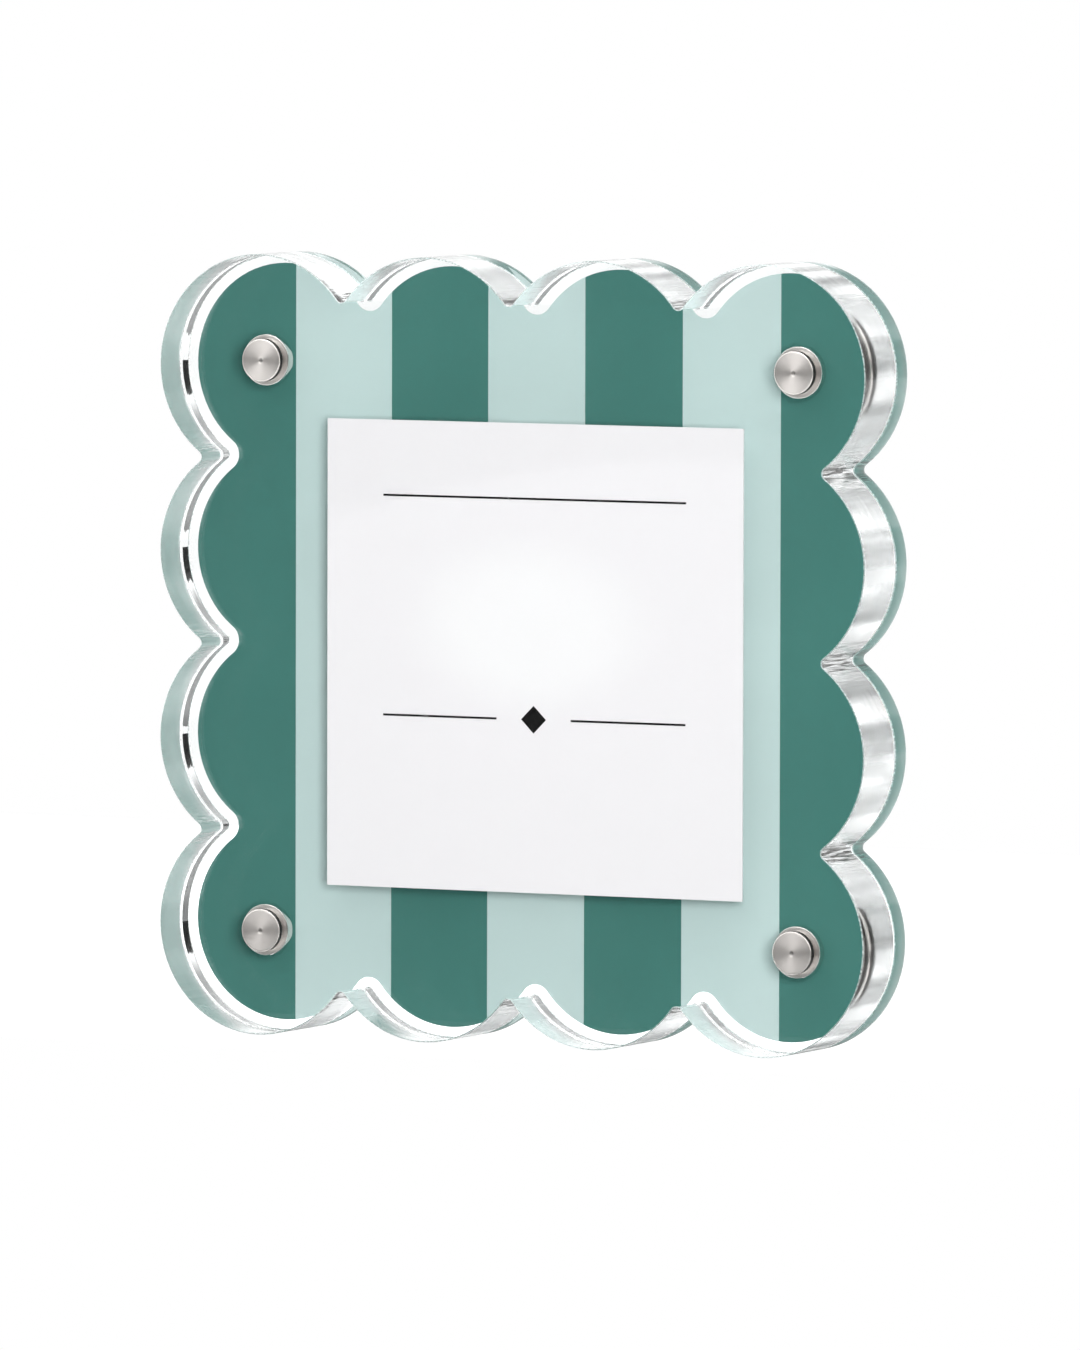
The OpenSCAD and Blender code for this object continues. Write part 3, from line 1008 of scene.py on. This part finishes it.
def set_lamp(name, place, size, power, mirrored):
    """A soft square lamp at this place from the middle of the frame, which it looks at. Gloss and
    glass show it only where it is to be mirrored."""
    data = bpy.data.lights.new(name, "AREA")
    data.size = size
    data.energy = power
    lamp = placed(name, data)
    lamp.location = Vector((0, 0, MIDDLE_Z)) + Vector(place)
    lamp.rotation_euler = Vector(place).to_track_quat("Z", "Y").to_euler()
    lamp.visible_glossy = mirrored
    lamp.visible_transmission = mirrored


def set_floor():
    """A pale floor. It glows white to the eye, through the acrylic and in what is mirrored more than
    once, and is matt grey to all other light."""
    corners = (
        (-FLOOR_SIDE, FLOOR_FRONT, 0), (FLOOR_SIDE, FLOOR_FRONT, 0),
        (FLOOR_SIDE, FLOOR_BACK, 0), (-FLOOR_SIDE, FLOOR_BACK, 0))
    mesh = bpy.data.meshes.new("floor")
    mesh.from_pydata(corners, [], [(0, 1, 2, 3)])
    floor = placed("floor", mesh)
    material, tree = blank_material("white_floor")
    path = add(tree, "ShaderNodeLightPath").outputs
    seen = add(tree, MATH, path["Is Camera Ray"], path["Is Glossy Ray"], operation="ADD")
    seen = add(tree, MATH, seen, path["Is Transmission Ray"], operation="ADD")
    unscattered = add(tree, MATH, path["Diffuse Depth"], 0.5, operation="LESS_THAN")
    seen = add(tree, MATH, seen, unscattered, operation="MULTIPLY")
    once = add(tree, MATH, path["Glossy Depth"], 1.0, 0.5, operation="COMPARE")
    other = add(tree, MATH, 1.0, once, operation="SUBTRACT")
    seen = add(tree, MATH, seen, other, operation="MULTIPLY")
    glow = add(tree, MATH, seen, FLOOR_GLOW, operation="MULTIPLY")
    white = add(tree, "ShaderNodeEmission", {"Strength": glow})
    matt = add(tree, "ShaderNodeBsdfDiffuse", linear("#8C8C8C"))
    add(tree, "ShaderNodeOutputMaterial", add(tree, "ShaderNodeAddShader", white, matt))
    mesh.materials.append(material)


def set_surround(scene, strength):
    """The world: white behind the frame, and a soft light from all sides for matt surfaces. What the
    frame mirrors is a white room with a dark band at eye level on the viewer's side, a doorway and a
    grey ceiling behind the frame, and a few grey patches."""
    world = bpy.data.worlds.new("studio_surround")
    scene.world = world
    world.use_nodes = True
    tree = world.node_tree
    tree.nodes.clear()
    path = add(tree, "ShaderNodeLightPath").outputs
    towards = add(tree, "ShaderNodeTexCoord").outputs["Generated"]
    x, y, z = add(tree, "ShaderNodeSeparateXYZ", towards).outputs
    # The dark band, for what is mirrored once or twice.
    height = add(tree, MATH, z, operation="ABSOLUTE")
    front = add(tree, MAP_RANGE, {"Value": y, "From Min": 0.05, "From Max": -0.35}, **SMOOTH)
    level = add(tree, MAP_RANGE, {"Value": height, "From Min": 0.26, "From Max": 0.14}, **SMOOTH)
    band = add(tree, MATH, front, level, operation="MULTIPLY")
    few = add(tree, MATH, path["Glossy Depth"], 1.5, 0.7, operation="COMPARE")
    band = add(tree, MATH, band, few, operation="MULTIPLY")

    # The doorway, behind the frame on the right, is dark to what is mirrored once and faint to what is
    # mirrored more often.
    sideways = add(tree, MATH, x, y, operation="DIVIDE")
    door = add(tree, MATH, sideways, *DOOR_ACROSS, operation="COMPARE")
    door_height = add(tree, MATH, z, *DOOR_UP, operation="COMPARE")
    door = add(tree, MATH, door, door_height, operation="MULTIPLY")
    behind = add(tree, MATH, y, 0.0, operation="GREATER_THAN")
    door = add(tree, MATH, door, behind, operation="MULTIPLY")
    mirrored = add(tree, MATH, path["Glossy Depth"], 0.5, operation="GREATER_THAN")
    often = add(tree, MATH, path["Glossy Depth"], 1.5, operation="GREATER_THAN")
    once = add(tree, MATH, mirrored, often, operation="SUBTRACT")
    shade = add(tree, MATH, often, -0.7, mirrored, operation="MULTIPLY_ADD")
    door = add(tree, MATH, door, shade, operation="MULTIPLY")

    # A grey ceiling behind the frame, for what is mirrored once.
    ceiling = add(tree, MAP_RANGE, {
        "Value": z, "From Min": 0.2, "From Max": 0.4, "To Max": 0.75}, **SMOOTH)
    ceiling = add(tree, MATH, ceiling, behind, operation="MULTIPLY")
    ceiling = add(tree, MATH, ceiling, once, operation="MULTIPLY")

    # Grey patches, for what is mirrored more often.
    patches = add(tree, NOISE, towards, {"Scale": 2.5, "Detail": 1.0})
    patches = add(tree, MAP_RANGE, {
        "Value": patches.outputs[0], "From Min": 0.54, "From Max": 0.6, "To Max": 0.4}, **SMOOTH)
    patches = add(tree, MATH, patches, often, operation="MULTIPLY")
    dark = add(tree, MATH, band, patches, operation="MAXIMUM")
    dark = add(tree, MATH, dark, door, operation="MAXIMUM")
    dark = add(tree, MATH, dark, ceiling, operation="MAXIMUM")

    # The clear surfaces take an eighth of the light that comes through, and what is mirrored is brighter
    # above and below the band.
    through = add(tree, MATH, path["Transmission Depth"], 0.5, operation="GREATER_THAN")
    white = add(tree, MAP_RANGE, {"Value": through, "To Min": 1.0, "To Max": 1.15})
    bright = add(tree, MAP_RANGE, {"Value": height, "From Min": 0.1, "From Max": 0.35, "To Max": 0.5})
    bright = add(tree, MATH, bright, mirrored, white, operation="MULTIPLY_ADD")
    shown = add(tree, MAP_RANGE, {"Value": dark, "To Min": bright, "To Max": 0.01})
    scattered = add(tree, MATH, path["Diffuse Depth"], 0.5, operation="GREATER_THAN")
    level = add(tree, MAP_RANGE, {"Value": scattered, "To Min": shown, "To Max": strength})
    background = add(tree, "ShaderNodeBackground", linear("#FFFFFF"), level)
    add(tree, "ShaderNodeOutputWorld", background)


class PhotoFramePanel(bpy.types.Panel):
    """Lists the steps that make the frame"""

    bl_idname = "VIEW3D_PT_photo_frame"
    bl_label = "Photo Frame"
    bl_space_type = "VIEW_3D"
    bl_region_type = "UI"
    bl_category = "Photo Frame"

    def draw(self, context):
        for group in SIZE_GROUPS:
            for name in SIZE_GROUPS[group].__annotations__:
                self.layout.prop(getattr(context.scene, group), name)
        for step in STEPS:
            self.layout.operator(step.bl_idname)


SIZE_GROUPS = {
    "frame_panels": PanelSizes,
    "frame_print": PrintSizes,
    "frame_card": CardSizes,
    "frame_magnets": MagnetSizes,
    "frame_studio": StudioSizes,
}
STEPS = (MakeClearPanels, MakeStripedPrint, MakePhotoCard, MakeMagnets, SetStage)


def register():
    for group in (*SIZE_GROUPS.values(), *STEPS, PhotoFramePanel):
        bpy.utils.register_class(group)
    for name, group in SIZE_GROUPS.items():
        setattr(bpy.types.Scene, name, PointerProperty(type=group))


def unregister():
    for name in SIZE_GROUPS:
        delattr(bpy.types.Scene, name)
    for group in (PhotoFramePanel, *STEPS[::-1], *SIZE_GROUPS.values()):
        bpy.utils.unregister_class(group)


def main():
    register()
    bpy.ops.photo_frame.clear_panels()
    bpy.ops.photo_frame.striped_print()
    bpy.ops.photo_frame.photo_card()
    bpy.ops.photo_frame.magnets()
    bpy.ops.photo_frame.stage()


if __name__ == "__main__":
    main()
